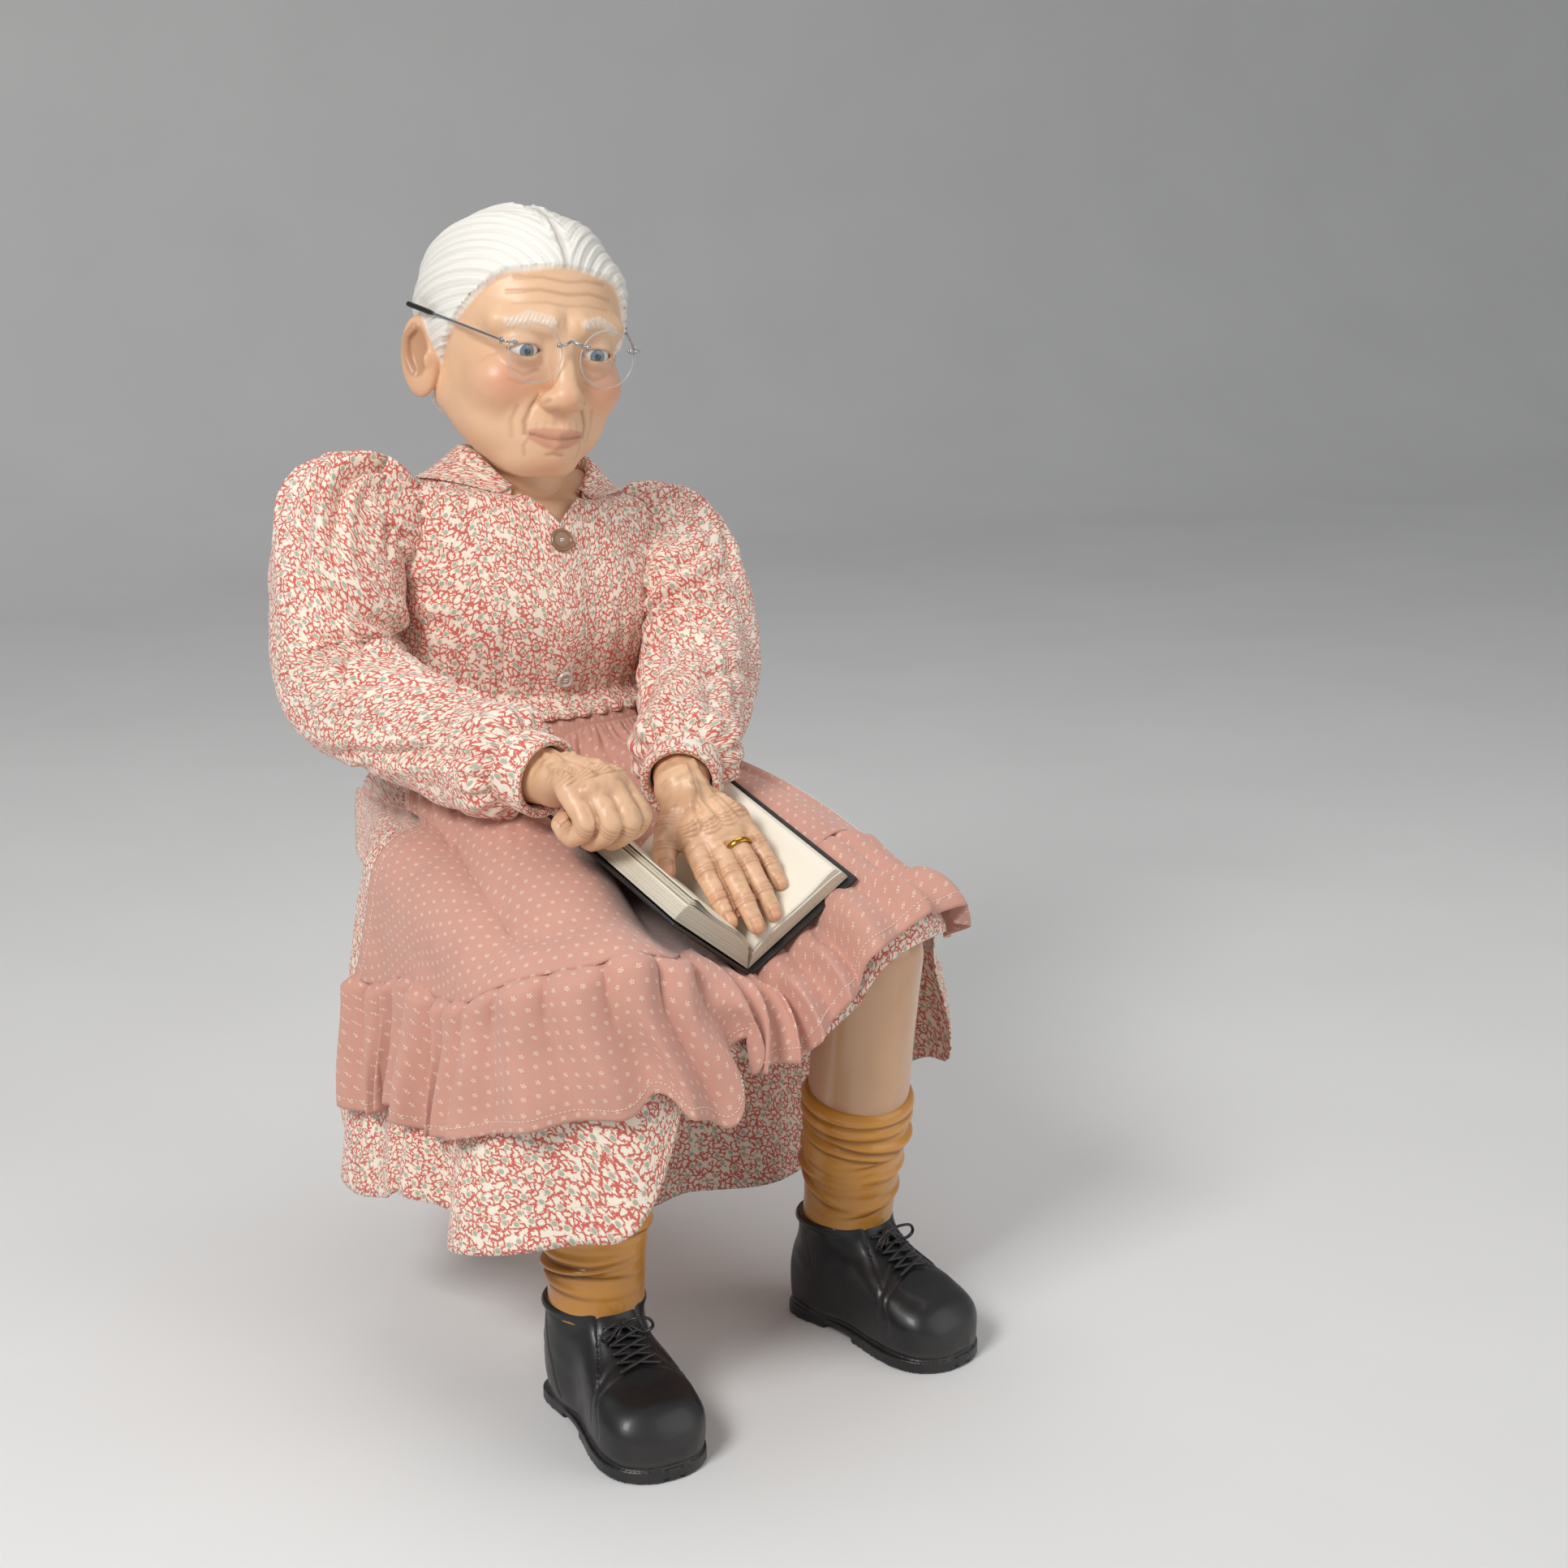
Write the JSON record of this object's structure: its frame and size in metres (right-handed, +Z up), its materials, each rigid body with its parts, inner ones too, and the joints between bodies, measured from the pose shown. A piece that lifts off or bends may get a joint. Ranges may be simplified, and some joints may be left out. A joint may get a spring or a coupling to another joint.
{
  "type": "seated ceramic doll",
  "caption": "Seated elderly ceramic doll with a stuffed cloth body, calico dress, gathered apron, rimless spectacles, moulded boots and an open book on its lap.",
  "frame": {"origin": "middle of the flat seat face, under the hips, where the doll rests on a chair", "axes": "+Z up, the doll faces -Y, its left side is +X"},
  "size_m": [0.4241, 0.5666, 0.8318],
  "materials": {
    "skin_ceramic": "satin glaze",
    "leg_ceramic": "gloss glaze",
    "eye": "polished",
    "calico": "printed cotton",
    "apron_cotton": "printed cotton",
    "muslin": "plain cotton with stuffing",
    "cord": "waxed thread",
    "core_wood": "plain",
    "steel": "polished",
    "felt": "felt",
    "lens": "clear",
    "tip": "satin black",
    "gold": "polished",
    "button": "gloss",
    "pearl": "pearl",
    "book_leather": "grained",
    "paper": "matt paper"
  },
  "bodies": {
    "torso": {"stuffed_torso": "muslin", "spine_post": "core_wood", "neck_rod": "steel", "shoulder_plate": "core_wood", "neck_washer": "felt", "bodice": "calico", "collar": "calico", "collar_button": "button", "waist_button": "pearl", "left_thigh": "muslin", "right_thigh": "muslin", "left_knee_cord": "cord", "right_knee_cord": "cord", "skirt_front": "calico", "skirt_back": "calico", "apron_panel": "apron_cotton", "apron_ruffle": "apron_cotton", "apron_waistband": "apron_cotton", "book_cover": "book_leather", "left_pages": "paper", "right_pages": "paper"},
    "head": {"head": "skin_ceramic", "left_eye": "eye", "right_eye": "eye"},
    "spectacles": {"spectacle_bridge": "steel", "left_lens": "lens", "right_lens": "lens", "left_endpiece": "steel", "right_endpiece": "steel", "left_temple": "steel", "right_temple": "steel", "left_temple_tip": "tip", "right_temple_tip": "tip"},
    "left_upper_arm": {"left_upper_sleeve": "calico", "left_upper_arm": "muslin"},
    "right_upper_arm": {"right_upper_sleeve": "calico", "right_upper_arm": "muslin"},
    "left_forearm": {"left_lower_sleeve": "calico", "left_cuff": "calico", "left_wrist_cord": "cord", "left_hand": "skin_ceramic", "wedding_ring": "gold"},
    "right_forearm": {"right_lower_sleeve": "calico", "right_cuff": "calico", "right_wrist_cord": "cord", "right_hand": "skin_ceramic"},
    "left_leg": {"left_leg": "leg_ceramic"},
    "right_leg": {"right_leg": "leg_ceramic"}
  },
  "joints": [
    {"name": "neck_turn", "type": "hinge", "parent": "torso", "child": "head", "pos_m": [0.007, 0.027, 0.306], "axis": [0, 0, 1], "range_deg": [-10, 20]},
    {"name": "spectacles_off", "type": "slide", "parent": "head", "child": "spectacles", "axis": [-0.0621, -0.9605, -0.2714], "range_m": [0, 0.12]},
    {"name": "left_shoulder", "type": "hinge", "parent": "torso", "child": "left_upper_arm", "pos_m": [0.1145, 0.036, 0.258], "axis": [-1, 0, 0], "range_deg": [0, 25]},
    {"name": "right_shoulder", "type": "hinge", "parent": "torso", "child": "right_upper_arm", "pos_m": [-0.1145, 0.036, 0.304], "axis": [-1, 0, 0], "range_deg": [0, 25]},
    {"name": "left_elbow", "type": "hinge", "parent": "left_upper_arm", "child": "left_forearm", "pos_m": [0.123, -0.058, 0.179], "axis": [-0.8439, 0.5366, 0], "range_deg": [0, 20]},
    {"name": "right_elbow", "type": "hinge", "parent": "right_upper_arm", "child": "right_forearm", "pos_m": [-0.172, -0.014, 0.172], "axis": [-0.9551, -0.2963, 0], "range_deg": [0, 20]},
    {"name": "left_knee", "type": "hinge", "parent": "torso", "child": "left_leg", "pos_m": [0.11, -0.337, 0.007], "axis": [-1, 0, 0], "range_deg": [-8, 30]},
    {"name": "right_knee", "type": "hinge", "parent": "torso", "child": "right_leg", "pos_m": [-0.11, -0.337, 0.007], "axis": [-1, 0, 0], "range_deg": [-8, 7]}
  ]
}
